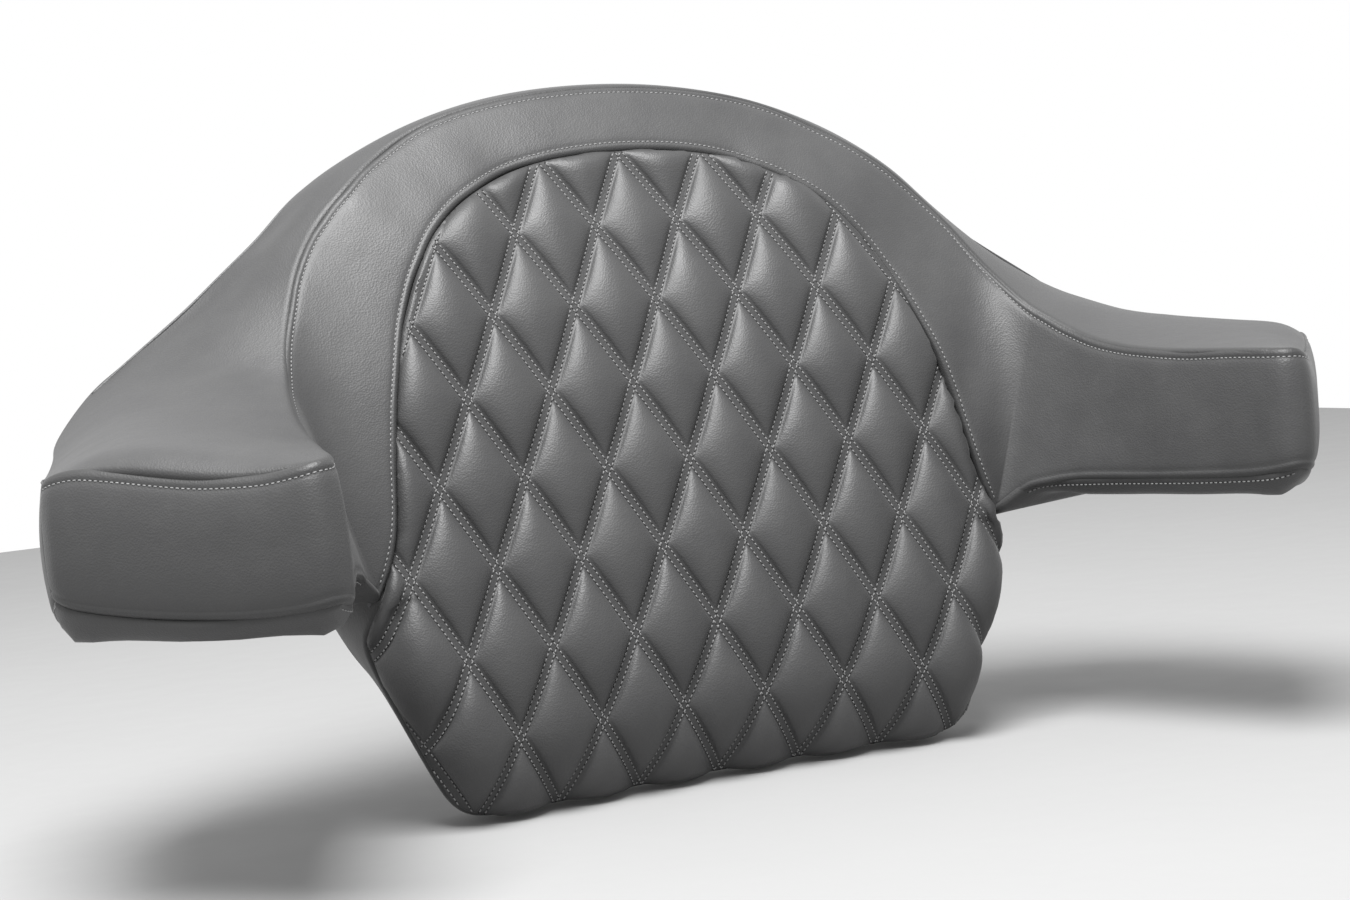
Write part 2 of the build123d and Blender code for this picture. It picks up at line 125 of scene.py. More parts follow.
# Bottom and top seams of the band along the arm, round the tip and onto the outer side
bottom_seam = [
    (164.5, -56.8, 13.5), (169, -60.8, 17.6), (174.1, -69.2, 24.4), (178.9, -79.3, 27.2),
    (184.8, -91.6, 29), (190.3, -106.1, 29.7), (196.9, -124.3, 29.6), (203.8, -143.4, 29.5),
    (210.2, -162.7, 29.9), (216, -179.8, 30.3), (221.5, -195.5, 31.2), (224.5, -203.5, 32.2),
    (226.2, -207.8, 33), (227.9, -210.6, 33.6), (230.9, -212.6, 34), (234.5, -213.2, 33.9),
    (238.1, -212.3, 33.3), (241.5, -209.5, 32.4), (248, -201.8, 31), (256.7, -191.3, 29.9),
    (266, -180.2, 29.5), (276.2, -168.1, 29.7), (287, -155.2, 30.4), (297.4, -142.8, 31.6),
    (306, -132.5, 33), (314.3, -122.6, 34.9), (318.2, -117.5, 36.6), (320, -113.8, 37.9),
    (320.4, -110, 39), (319.6, -106, 39.8)]
top_seam_arm = [
    (197, -57, 115), (198.8, -64, 111.3), (200.6, -72.5, 107), (202.4, -82, 103),
    (204.1, -94.4, 98.8), (206.4, -108.5, 95.6), (208.9, -124.5, 93.4), (212, -142, 91.8),
    (216, -158.5, 90.8), (219.8, -176.5, 91), (224.6, -195, 90.7), (227.2, -201.8, 90.5),
    (228.6, -205.2, 90.5), (230.4, -207.9, 90.4), (233.4, -209.8, 90.3), (236.8, -210.3, 90),
    (240.4, -209.4, 89.2), (243.8, -206.8, 88.4), (250, -199.3, 86.8), (256.9, -191, 85.9),
    (264.5, -182, 85.8), (271.8, -173.4, 86), (284, -158.9, 87.8), (295.9, -144.6, 90.1),
    (304, -135, 91.5), (311.4, -126.1, 92), (317, -119.5, 90.8), (319.4, -115.8, 89.6),
    (320.2, -111.6, 88.4), (319.5, -107, 87.4)]

# Top panel: the seam in front, two lines over the top, and its far edge
top_panel_front = [
    (0, 27, 245.3), (50, 26, 241.8), (92, 23, 231.8), (119, 16, 217.9), (142, 5, 201.7),
    (156.2, -0.1, 189), (167.5, -5.2, 176), (177, -14.4, 160.9), (184.6, -25.5, 144.3),
    (191, -38.2, 129.8), (195.5, -52, 118.4), (198.8, -64, 111.3), (202.4, -82, 103),
    (206.4, -108.5, 95.6), (212, -142, 91.8), (219.8, -176.5, 91), (227.2, -201.8, 90.5),
    (233.4, -209.8, 90.3)]
top_panel_rise = [
    (0, 35, 246.9), (54, 34.5, 242.7), (98, 32, 231.6), (126, 26.5, 219.3), (149, 19, 203.8),
    (163.5, 12, 190), (176, 9, 177), (189, 4, 163), (202, -3, 149), (214, -10, 136.5),
    (226, -22, 124), (234, -38, 116.5), (240, -60, 108.8), (245, -86, 102.5),
    (250, -116, 98.5), (255, -147, 95.3), (260, -174, 90.8), (262.5, -184.4, 85.9)]
top_panel_crest = [
    (0, 44, 246.6), (57, 43, 242), (101, 40, 229.6), (131, 37, 216.8), (156, 33, 201.4),
    (172, 29, 185.4), (190, 26, 170.4), (206, 23, 156), (222, 19, 143.5), (238, 14, 132),
    (255, 5, 120.5), (268, -10, 111), (276, -32, 104.5), (284, -58, 100),
    (290, -82, 97.8), (295, -106, 96.4), (299, -129, 94), (300.5, -139.2, 90.9)]
dome_back = rear_edge([
    (0, 245), (57, 240.3), (102, 227.4), (132, 214.8), (159, 199.3), (177, 183.6),
    (197, 168), (217, 152.6), (236, 139.3), (253, 127.6), REAR_TOP])
arm_outer_seam = [
    (288, 0, 100), (296.5, -24, 92.5), (303.5, -48, 88.5), (309.5, -69, 87),
    (315, -88, 86.5), (319, -104, 87.2), (319.8, -113.5, 89)]
top_panel_back = dome_back + arm_outer_seam

# Outer side of the arm: the seam under the top panel, the middle and the bottom edge
flank_top = [(319.5, -107, 87.4), (315, -88, 86.5), (309.5, -69, 87), (303.5, -48, 88.5),
             (296.5, -24, 92.5), (288, 0, 100), *rear_edge([REAR_TOP])]
flank_middle = [(321, -107, 65), (317.5, -88, 60), (311.5, -69, 58.5), (305.5, -48, 58.5),
                (299, -24, 60), (293, -3, 63), *rear_edge([REAR_SIDE])]
flank_low = [(319.6, -106, 39.8), (316.5, -88, 31), (311, -69, 25.6), (304.5, -48, 22.8),
             (298.5, -24, 21.5), (294.5, -10, 21), *rear_edge([REAR_OUTER])]

# Underside of the arm, from the rear towards the tip
under_inner = [*rear_edge([REAR_INNER]), (171, -30, 14), (164.5, -56.8, 13.5),
               (174.1, -69.2, 24.4), (184.8, -91.6, 29), (196.9, -124.3, 29.6),
               (210.2, -162.7, 29.9), (221.5, -195.5, 31.2), (224.5, -203.5, 32.2),
               (230.9, -212.6, 34)]
under_middle = [*rear_edge([REAR_MIDDLE]), (240, -25, 17), (243, -45, 17.5), (247, -58, 18),
                (251, -74, 18.5), (256, -97, 19), (262, -125, 19.5), (267, -148, 20),
                (269.5, -164, 20.5), (271, -174.2, 29.6)]
under_outer = [*rear_edge([REAR_OUTER]), (294.5, -10, 21), (298.5, -24, 21.5),
               (302, -38, 22.2), (305.5, -52, 23.2), (309.5, -65, 25), (314, -80, 28.5),
               (317.5, -93, 33), (319.6, -103, 37), (320.4, -110.5, 39)]

# Edge of the quilted panel below the waist, down to the level bottom edge
low_edge = [(164.5, -56.8, 13.5), (168, -53, 5), (170.5, -47.5, -4), (168.5, -44.5, -14),
            (164, -43.5, -26), (157.4, -46.5, -43), (149.6, -51, -63), (143.8, -53.5, -76.5)]
# The rest of that edge and the rear outline behind it all, as (x, z)
bottom_edge = [(139.5, -84), (133, -89.8), (124, -92.4), (108, -93.2), (76, -93.4),
               (40, -93.4), (0, -93.4)]
low_back = [REAR_INNER, (174.5, 6), (170.5, -5), (164.5, -17), (157.5, -28), (149, -45),
            (141, -64), (135.6, -75.5), (131.6, -81.6), (126, -86), (118, -88),
            (104, -88.6), (74, -88.8), (40, -88.8), (0, -88.8)]

# ------------------------------------------------------------------------- quilt lattice
LATTICE = 150.0        # the lattice curves below use x and z in these units
PAD_Z = 60.0           # height of the lattice's own origin
PAD_Y = -49.0
CURL = 32.0            # width over which the low sides curl back


def pad_face(x, z):
    """Depth y of the quilted panel's seams on the main face."""
    u = (x / LATTICE) ** 2
    w = (z - PAD_Z) / LATTICE
    rise = 1.36 + 34.0 * w + 9.99 * w**2 + 12.01 * w**3 + 14.66 * w**4 - 19.14 * w**5
    side = -8.02 * u - 2.3 * u * w - 9.9 * u * w**2 + 4.46 * u**2
    return rise + side + PAD_Y


def pad_depth(x, z):
    """The same where the low sides of the panel also curl back towards their seam."""
    edge_x, edge_y, edge_z = np.array(low_edge[::-1]).T
    curl = np.interp(z, edge_z, edge_y - pad_face(edge_x, edge_z), right=0)
    edge = np.interp(z, edge_z, edge_x)
    near = np.clip((np.abs(x) - edge + CURL) / CURL, 0, 1.1)
    return pad_face(x, z) + curl * near**3


def lattice_row(u, w):
    """Row number of the diamonds' corners, 3 on the lattice's own origin."""
    row = 2.996 - 3.847 * w - 0.111 * w**3
    return row - u**2 * (0.0007 + 0.0238 * w + 0.1448 * w**2)


def lattice_column(u, w):
    """Column number of the diamonds' corners, 3 on the centre line."""
    return 3 + u * (6.902 - 0.056 * w - 0.02 * w**2 + 0.07 * u**2)


def lattice_place(p, q):
    """Where quilting lines p and q cross, as (x, z)."""
    column, row = p + q, p - q
    u = (column - 3) / 6.902
    w = (2.996 - row) / 3.847
    for _ in range(12):
        w = w + (lattice_row(u, w) - row) / 3.847
        u = u - (lattice_column(u, w) - column) / 6.902
    return u * LATTICE, w * LATTICE + PAD_Z


# ---------------------------------------------------------------------- curve and surface
def spline(knots, points, places):
    """Natural cubic spline through points given at knots, read at places."""
    knots = np.asarray(knots, float)
    points = np.asarray(points, float)
    count = len(knots)
    gap = np.diff(knots)
    system = np.zeros((count, count))
    right = np.zeros_like(points)
    system[0, 0] = system[-1, -1] = 1
    for i in range(1, count - 1):
        system[i, i - 1:i + 2] = gap[i - 1], 2 * (gap[i - 1] + gap[i]), gap[i]
        ahead = (points[i + 1] - points[i]) / gap[i]
        behind = (points[i] - points[i - 1]) / gap[i - 1]
        right[i] = 6 * (ahead - behind)
    bend = np.linalg.solve(system, right)
    i = np.clip(np.searchsorted(knots, places, "right") - 1, 0, count - 2)
    h = gap[i][:, None]
    t = (places - knots[i])[:, None]
    s = h - t
    lines = (bend[i] * s**3 + bend[i + 1] * t**3) / (6 * h)
    return (lines + (points[i] / h - bend[i] * h / 6) * s
            + (points[i + 1] / h - bend[i + 1] * h / 6) * t)


def along(points):
    """Distance travelled along points."""
    steps = np.linalg.norm(np.diff(points, axis=0), axis=1)
    return np.concatenate([[0], np.cumsum(steps)])


def read_at(points, travelled, places):
    """Points read at places along the distance travelled."""
    return np.stack([np.interp(places, travelled, points[:, k]) for k in range(3)], axis=-1)


def unit(vectors):
    """Vectors scaled to length one."""
    return vectors / np.maximum(np.linalg.norm(vectors, axis=-1, keepdims=True), 1e-9)


def mirror(points):
    """Points on the other side of the centre line."""
    return np.asarray(points, float) * (-1, 1, 1)


def common_knots(rails):
    """One parameter for matched rails: their mean distance travelled."""
    return np.mean([along(np.asarray(r, float)) for r in rails], axis=0)


def fine(knots, step=STEP):
    """Places every step along knots that keep every knot."""
    places = [np.linspace(a, b, max(2, math.ceil((b - a) / step)) + 1)[:-1]
              for a, b in zip(knots[:-1], knots[1:])]
    return np.concatenate(places + [[knots[-1]]])


def run_rail(knots, points, places, centred):
    """A rail read at places.  A centred rail crosses the centre line squarely."""
    points = np.asarray(points, float)
    if centred:
        knots = np.concatenate([-knots[3:0:-1], knots])
        points = np.concatenate([mirror(points[3:0:-1]), points])
    return spline(knots, points, places)


def row_places(length, middle):
    """Row distances across a strip of each length: fine near both seams."""
    near = np.array([0, 0.35, 0.8, 1.4, 2.1, 2.9, 3.6, TOPSTITCH, 5.4, 7.2, 9.6])
    rows = []
    for total in length:
        edge = near * min(1, total / (2 * near[-1] + 6))
        inner = np.linspace(edge[-1], total - edge[-1], middle + 2)[1:-1]
        rows.append(np.concatenate([edge, inner, total - edge[::-1]]))
    return np.array(rows)


def sheet(rails, places, knots, middle, centred=False, breaks=None):
    """Grid over matched rails: (stations, rows, 3), and each row's distance across."""
    lines = []
    for number, rail in enumerate(rails):
        cut = (breaks or {}).get(number)
        if cut is None:
            lines.append(run_rail(knots, rail, places, centred))
            continue
        first = places < knots[cut]
        lines.append(np.concatenate([
            run_rail(knots[:cut + 1], rail[:cut + 1], places[first], centred),
            run_rail(knots[cut:], rail[cut:], places[~first], False)]))
    lines = np.array(lines).transpose(1, 0, 2)
    grid = []
    dense = np.linspace(0, 1, 81)
    sections = []
    for points in lines:
        if len(points) == 2:
            sections.append(points[0] + dense[:, None] * (points[1] - points[0]))
        else:
            t = along(points)
            sections.append(spline(t / t[-1], points, dense))
    travelled = [along(s) for s in sections]
    rows = row_places([t[-1] for t in travelled], middle)
    for section, t, row in zip(sections, travelled, rows):
        grid.append(read_at(section, t, row))
    return np.array(grid), rows


def grid_normals(grid, outward):
    """Unit normals of a grid, on the side that outward points to at its middle."""
    a = np.gradient(grid, axis=0)
    b = np.gradient(grid, axis=1)
    normal = unit(np.cross(a, b))
    here = normal[len(grid) // 2, grid.shape[1] // 2]
    if np.dot(here, outward) < 0:
        normal = -normal
    return normal


def lip(distance):
    """How deep the cover has rolled in at a distance from its seam."""
    near = np.clip(1 - distance / LIP_R, 0, 1)
    return LIP_DROP * (1 - np.sqrt(np.clip(1 - near**2, 0, 1)))


def groove(distance):
    """Shallow valley that a row of topstitching pulls in."""
    return 0.55 * np.exp(-(((distance - TOPSTITCH) / 1.1) ** 2))


def grid_faces(n, m):
    """Quads over an n by m grid of points."""
    index = np.arange(n * m).reshape(n, m)
    return np.stack([index[:-1, :-1].ravel(), index[1:, :-1].ravel(),
                     index[1:, 1:].ravel(), index[:-1, 1:].ravel()], axis=1)


def closed_shell(outer, inner, faces):
    """Vertices and faces of a closed shell between two matching sets of points."""
    count = len(outer)
    edges = np.concatenate([faces[:, [k, (k + 1) % 4]] for k in range(4)])
    key = np.sort(edges, axis=1) @ (count, 1)
    _, where, times = np.unique(key, return_index=True, return_counts=True)
    rim = edges[where[times == 1]]
    side = np.stack([rim[:, 1], rim[:, 0], rim[:, 0] + count, rim[:, 1] + count], axis=1)
    return (np.concatenate([outer, inner]),
            np.concatenate([faces, faces[:, ::-1] + count, side]))


def make_object(name, pieces, materials):
    """One object in metres from several (points, faces, seam shade mask, material) pieces."""
    points, faces, seams, slots, start = [], [], [], [], 0
    for vertices, polygons, seam, material in pieces:
        points.append(vertices)
        faces.extend((polygons + start).tolist())
        seams.append(np.broadcast_to(seam, len(vertices)))
        slots.extend([material] * len(polygons))
        start += len(vertices)
    mesh = bpy.data.meshes.new(name)
    mesh.from_pydata((np.concatenate(points) * MM).tolist(), [], faces)
    mesh.polygons.foreach_set("use_smooth", [True] * len(faces))
    mesh.polygons.foreach_set("material_index", slots)
    # The seam attribute masks the painted shade in seams and along quilting channels.
    mesh.attributes.new("seam", "FLOAT", "POINT").data.foreach_set(
        "value", np.concatenate(seams).astype(np.float32))
    for material in materials:
        mesh.materials.append(material)
    work = bmesh.new()
    work.from_mesh(mesh)
    bmesh.ops.recalc_face_normals(work, faces=work.faces)
    work.to_mesh(mesh)
    work.free()
    piece = bpy.data.objects.new(name, mesh)
    bpy.context.scene.collection.objects.link(piece)
    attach(piece, "root")
    return piece


# -------------------------------------------------------------------------- sewn panels
def seam_shade_mask(distance):
    """1 in a seam, fading to 0 a few millimetres away: the mask for the painted shade that darkens
    the vinyl into its seams.
    """
    return np.exp(-distance / 3.0)


def sewn(rails, outward, crown, seams=(True, True), stitched=(False, False),
         end_seam=False, start_seam=False, middle=14, centred=False, breaks=None):
    """A crowned panel over matched rails, rolled in at its seams."""
    knots = common_knots(rails)
    places = fine(knots)
    near = np.array([0.35, 0.8, 1.4, 2.1, 2.9, 3.6, TOPSTITCH, 5.4])
    if end_seam:
        places = np.concatenate([places[places < knots[-1] - 6], knots[-1] - near[::-1],
                                 knots[-1:]])
    if start_seam:
        places = np.concatenate([[0], near, places[places > 6]])
    base, rows = sheet(rails, places, knots, middle, centred, breaks)
    normal = grid_normals(base, outward)
    far = rows[:, -1:] - rows
    full = 1 - np.abs(2 * rows / rows[:, -1:] - 1) ** 2.6
    travelled = np.concatenate([np.zeros((1, base.shape[1])), np.cumsum(
        np.linalg.norm(np.diff(base, axis=0), axis=2), axis=0)])
    to_end = travelled[-1] - travelled
    rise = np.interp(places, knots, np.broadcast_to(crown, len(knots)))[:, None] * full
    sink = np.zeros_like(rows)
    closest = np.full_like(rows, 99.0)
    for used, sewn_on, distance in ((seams[0], stitched[0], rows), (seams[1], stitched[1], far),
                                    (end_seam, False, to_end), (start_seam, False, travelled)):
        if used:
            sink = np.maximum(sink, lip(distance))
            closest = np.minimum(closest, distance)
        if sewn_on:
            sink = sink + groove(distance)
    for used, distance in ((end_seam, to_end), (start_seam, travelled)):
        if used:
            rise = rise * (1 - np.clip(1 - distance / 22, 0, 1) ** 2.6)
    outer = base + normal * (rise - sink)[..., None]
    inner = base + normal * (rise - SHELL)[..., None]
    if centred:
        flip = lambda grid: np.concatenate([mirror(grid[:0:-1]), grid])
        outer, inner, normal = flip(outer), flip(inner), flip(normal)
        closest = np.concatenate([closest[:0:-1], closest])
    return {"outer": outer, "inner": inner, "normal": normal, "seam": closest}


def mirrored_panel(panel):
    """The same panel on the -X side."""
    return {"outer": mirror(panel["outer"]), "inner": mirror(panel["inner"]),
            "normal": mirror(panel["normal"]), "seam": panel["seam"]}


def panel_shell(panel):
    """A panel as a closed piece for make_object."""
    n, m = panel["seam"].shape
    points, faces = closed_shell(panel["outer"].reshape(-1, 3),
                                 panel["inner"].reshape(-1, 3), grid_faces(n, m))
    seam = seam_shade_mask(panel["seam"]).ravel()
    return points, faces, np.concatenate([seam, seam * 0]), 0


def hem(edge, centred=False, width=HEM):
    """The cover folded round the rear edge and turned in behind."""
    t = along(np.asarray(edge, float))
    line = run_rail(t, edge, fine(t), centred)
    if centred:
        line = np.concatenate([mirror(line[:0:-1]), line])
    ahead = unit(np.gradient(line, axis=0))
    back = unit(np.array([0, 1, -LEAN]))
    out = unit(np.cross(ahead, back))
    middle = np.array([0, 0, PAD_Z])
    if np.sum((line - middle) * out) < 0:
        out = -out
    centre = line - out * FOLD_R
    turn = np.radians([-20, 0, 15, 30, 45, 60, 75, 90])
    ring = [centre + out * FOLD_R * math.cos(a) + back * FOLD_R * math.sin(a) for a in turn]
    ring += [centre - out * across + back * FOLD_R for across in (3, 6, 9, width)]
    outer = np.stack(ring, axis=1)
    lean_in = [centre + (out * math.cos(a) + back * math.sin(a)) * (FOLD_R - COVER)
               for a in turn]
    lean_in += [centre - out * across + back * (FOLD_R - COVER) for across in (3, 6, 9, width)]
    inner = np.stack(lean_in, axis=1)
    points, faces = closed_shell(outer.reshape(-1, 3), inner.reshape(-1, 3),
                                 grid_faces(*outer.shape[:2]))
    return points, faces, 0.0, 0


def swap_side(piece):
    """A finished (points, faces, seam, material) piece on the -X side."""
    return mirror(piece[0]), piece[1], piece[2], piece[3]


# ---------------------------------------------------------------------------- stitching
def capsule(length, radius, rings=5, around=6):
    """A short arched thread along the first axis, its ends dipping into the cover."""
    s = np.sin(np.linspace(-math.pi / 2, math.pi / 2, rings + 2))[1:-1]
    points = [(-length / 2, 0, -radius * 0.9)]
    for place in s:
        r = radius * (1 - place**2) ** 0.4
        lift = radius * (0.35 - 1.1 * place**4)
        for k in range(around):
            a = 2 * math.pi * k / around
            points.append((place * length / 2, r * math.cos(a), lift + r * math.sin(a)))
    points.append((length / 2, 0, -radius * 0.9))
    faces = []
    for k in range(around):
        after = (k + 1) % around
        faces.append((0, 1 + after, 1 + k, 0))
        for ring in range(rings - 1):
            low, high = 1 + ring * around, 1 + (ring + 1) * around
            faces.append((low + k, low + after, high + after, high + k))
        last = 1 + (rings - 1) * around
        faces.append((last + k, last + after, len(points) - 1, len(points) - 1))
    return np.array(points), [tuple(dict.fromkeys(f)) for f in faces]


def pin_hole(length, width):
    """A needle hole: a flat lozenge a little proud of the cover, given a near-black painted shade
    for the hole's depth.
    """
    points = [(length / 2, 0, 0), (0, width / 2, 0), (-length / 2, 0, 0),
              (0, -width / 2, 0), (0, 0, 0.12), (0, 0, -0.4)]
    faces = [(k, (k + 1) % 4, 4) for k in range(4)] + [((k + 1) % 4, k, 5) for k in range(4)]
    return np.array(points), faces


def repeat_along(form, places, ahead, normal):
    """A small form set down at many places, turned along a row."""
    points, faces = form
    normal = unit(normal - ahead * np.sum(normal * ahead, axis=1, keepdims=True))
    across = np.cross(normal, ahead)
    put = (places[:, None] + points[None, :, :1] * ahead[:, None]
           + points[None, :, 1:2] * across[:, None] + points[None, :, 2:] * normal[:, None])
    every = [tuple(i + k * len(points) for i in f) for k in range(len(places)) for f in faces]
    return put.reshape(-1, 3), every


def stitch_row(path, normal, pitch, thread=None):
    """Stitches and needle holes along a path, as two (points, faces) pairs."""
    t = along(path)
    count = max(2, round(t[-1] / pitch))
    spot = (np.arange(count) + 0.5) * t[-1] / count
    ahead = unit(np.gradient(path, axis=0))
    thread = thread or THREAD
    sewing = repeat_along(capsule(pitch * 0.7, thread), read_at(path, t, spot),
                          unit(read_at(ahead, t, spot)), unit(read_at(normal, t, spot)))
    edge = spot - t[-1] / count / 2
    holes = repeat_along(pin_hole(pitch * 0.5, thread * 2.6), read_at(path, t, edge),
                         unit(read_at(ahead, t, edge)), unit(read_at(normal, t, edge)))
    return sewing, holes


def sew(name, rows):
    """One object holding every stitch of several rows."""
    points, faces, slots, start = [], [], [], 0
    for row in rows:
        for material, (vertices, polygons) in enumerate(row):
            points.append(vertices)
            faces.extend(tuple(i + start for i in f) for f in polygons)
            slots.extend([material] * len(polygons))
            start += len(vertices)
    mesh = bpy.data.meshes.new(name)
    mesh.from_pydata((np.concatenate(points) * MM).tolist(), [], faces)
    mesh.polygons.foreach_set("use_smooth", [slot == 0 for slot in slots])
    mesh.polygons.foreach_set("material_index", slots)
    mesh.materials.append(thread_material)
    mesh.materials.append(hole_shade_material)
    mesh.update()
    piece = bpy.data.objects.new(name, mesh)
    bpy.context.scene.collection.objects.link(piece)
    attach(piece, "root")
    return piece


# ----------------------------------------------------------------------------- materials
def new_material(name):
    """A node material and its parts."""
    material = bpy.data.materials.new(name)
    material.use_nodes = True
    nodes = material.node_tree.nodes
    return material, nodes, material.node_tree.links, nodes["Principled BSDF"]


def noise(nodes, links, place, scale, detail=4.0, rough=0.55):
    """A noise texture in object space, so the grain keeps its real size."""
    node = nodes.new("ShaderNodeTexNoise")
    node.inputs["Scale"].default_value = scale
    node.inputs["Detail"].default_value = detail
    node.inputs["Roughness"].default_value = rough
    links.new(place.outputs["Object"], node.inputs["Vector"])
    return node


def ramp(nodes, links, source, low, high, start=0.3, end=0.7):
    """A value or colour that runs from low to high as a noise rises."""
    node = nodes.new("ShaderNodeMapRange")
    node.inputs["From Min"].default_value = start
    node.inputs["From Max"].default_value = end
    node.inputs["To Min"].default_value = low
    node.inputs["To Max"].default_value = high
    links.new(source, node.inputs["Value"])
    return node.outputs["Result"]


def blend_colour(nodes, links, factor, low, high):
    """A colour between two greys or colours."""
    node = nodes.new("ShaderNodeMix")
    node.data_type = "RGBA"
    for socket, colour in ((node.inputs[6], low), (node.inputs[7], high)):
        if hasattr(colour, "is_output"):
            links.new(colour, socket)
        else:
            socket.default_value = (*colour, 1)
    links.new(factor, node.inputs[0])
    return node.outputs[2]


def bump(nodes, links, height, distance, strength, under=None):
    """A bump node, on top of another when under is given."""
    node = nodes.new("ShaderNodeBump")
    node.inputs["Distance"].default_value = distance
    node.inputs["Strength"].default_value = strength
    links.new(height, node.inputs["Height"])
    if under:
        links.new(under.outputs["Normal"], node.inputs["Normal"])
    return node


def vinyl(name, tone):
    """Satin upholstery vinyl: pebbled grain, soft mottling, random pale scuffs, and painted shade
    darkening it into its seams and quilting channels.
    """
    material, nodes, links, shader = new_material(name)
    place = nodes.new("ShaderNodeTexCoord")
    mottle = noise(nodes, links, place, 26, 5, 0.6)
    scuff = noise(nodes, links, place, 190, 6, 0.7)
    # Mask of the painted shade: 1 in seams and quilting channels.
    seam = nodes.new("ShaderNodeAttribute")
    seam.attribute_name = "seam"
    dark = tuple(tone * k for k in (0.90, 0.90, 0.92))
    pale = tuple(tone * k for k in (1.12, 1.12, 1.13))
    body = blend_colour(nodes, links, ramp(nodes, links, mottle.outputs["Fac"], 0, 1), dark, pale)
    worn = blend_colour(nodes, links, ramp(nodes, links, scuff.outputs["Fac"], 0, 0.3, 0.55, 0.8),
                        body, tuple(tone * 1.5 for _ in range(3)))
    # Painted shade: up to 55% of the way to a quarter of the tone where the mask is high.
    shade = ramp(nodes, links, seam.outputs["Fac"], 0, 0.55, 0.15, 0.9)
    links.new(blend_colour(nodes, links, shade, worn, (tone * 0.25,) * 3),
              shader.inputs["Base Color"])
    links.new(ramp(nodes, links, mottle.outputs["Fac"], 0.44, 0.56), shader.inputs["Roughness"])
    shader.inputs["Specular IOR Level"].default_value = 0.42
    shader.inputs["Sheen Weight"].default_value = 0.05
    grain = nodes.new("ShaderNodeTexVoronoi")
    grain.feature = "SMOOTH_F1"
    grain.inputs["Scale"].default_value = 1150
    grain.inputs["Smoothness"].default_value = 0.35
    links.new(place.outputs["Object"], grain.inputs["Vector"])
    creases = noise(nodes, links, place, 75, 3, 0.5)
    fine_grain = noise(nodes, links, place, 2600, 2, 0.5)
    first = bump(nodes, links, creases.outputs["Fac"], 0.0009, 0.28)
    second = bump(nodes, links, grain.outputs["Distance"], 0.0002, 0.5, first)
    third = bump(nodes, links, fine_grain.outputs["Fac"], 0.00008, 0.4, second)
    links.new(third.outputs["Normal"], shader.inputs["Normal"])
    return material


def plain_finish(name, colour, metallic, rough, grain, depth, vary=0.12):
    """A hard surface with its own grain, mottling and uneven gloss."""
    material, nodes, links, shader = new_material(name)
    place = nodes.new("ShaderNodeTexCoord")
    mottle = noise(nodes, links, place, grain * 0.12, 4)
    texture = noise(nodes, links, place, grain, 5)
    low = tuple(c * (1 - vary) for c in colour)
    high = tuple(min(1, c * (1 + vary)) for c in colour)
    links.new(blend_colour(nodes, links, ramp(nodes, links, mottle.outputs["Fac"], 0, 1), low, high),
              shader.inputs["Base Color"])
    links.new(ramp(nodes, links, texture.outputs["Fac"], rough - 0.06, rough + 0.08),
              shader.inputs["Roughness"])
    shader.inputs["Metallic"].default_value = metallic
    links.new(bump(nodes, links, texture.outputs["Fac"], depth, 0.6).outputs["Normal"],
              shader.inputs["Normal"])
    return material


def felt(name, colour):
    """Pressed fibre board: short crossing fibres over a mottled ground."""
    material, nodes, links, shader = new_material(name)
    place = nodes.new("ShaderNodeTexCoord")
    fibres = nodes.new("ShaderNodeTexWave")
    fibres.inputs["Scale"].default_value = 160
    fibres.inputs["Distortion"].default_value = 26
    fibres.inputs["Detail"].default_value = 4
    links.new(place.outputs["Object"], fibres.inputs["Vector"])
    mottle = noise(nodes, links, place, 700, 5, 0.7)
    low = tuple(c * 0.7 for c in colour)
    high = tuple(c * 1.5 for c in colour)
    links.new(blend_colour(nodes, links, ramp(nodes, links, mottle.outputs["Fac"], 0, 1), low, high),
              shader.inputs["Base Color"])
    shader.inputs["Roughness"].default_value = 0.9
    under = bump(nodes, links, fibres.outputs["Fac"], 0.0002, 0.5)
    links.new(bump(nodes, links, mottle.outputs["Fac"], 0.0003, 0.6, under).outputs["Normal"],
              shader.inputs["Normal"])
    return material


def sewing_thread(name, tone):
    """Polyester thread: a twisted, slightly shiny pale grey."""
    material, nodes, links, shader = new_material(name)
    place = nodes.new("ShaderNodeTexCoord")
    twist = nodes.new("ShaderNodeTexWave")
    twist.inputs["Scale"].default_value = 900
    twist.bands_direction = "DIAGONAL"
    links.new(place.outputs["Object"], twist.inputs["Vector"])
    low, high = (tone * 0.75,) * 3, (tone * 1.15,) * 3
    links.new(blend_colour(nodes, links, twist.outputs["Fac"], low, high),
              shader.inputs["Base Color"])
    shader.inputs["Roughness"].default_value = 0.55
    links.new(bump(nodes, links, twist.outputs["Fac"], 0.0001, 0.5).outputs["Normal"],
              shader.inputs["Normal"])
    return material


vinyl_material = vinyl("vinyl_grey", 0.037)
quilt_material = vinyl("vinyl_quilted", 0.036)
foam_material = plain_finish("foam_core", (0.10, 0.10, 0.105), 0, 0.95, 900, 0.0004)
wadding_material = plain_finish("wadding_fibre", (0.75, 0.74, 0.7), 0, 0.95, 1400, 0.0006)
thread_material = sewing_thread("thread_pale", 0.17)
# Painted shade: near-black lozenges stand in for the shadow inside each needle hole.
hole_shade_material = plain_finish("needle_hole_shade", (0.006, 0.006, 0.006), 0, 0.9, 900, 0.0001)

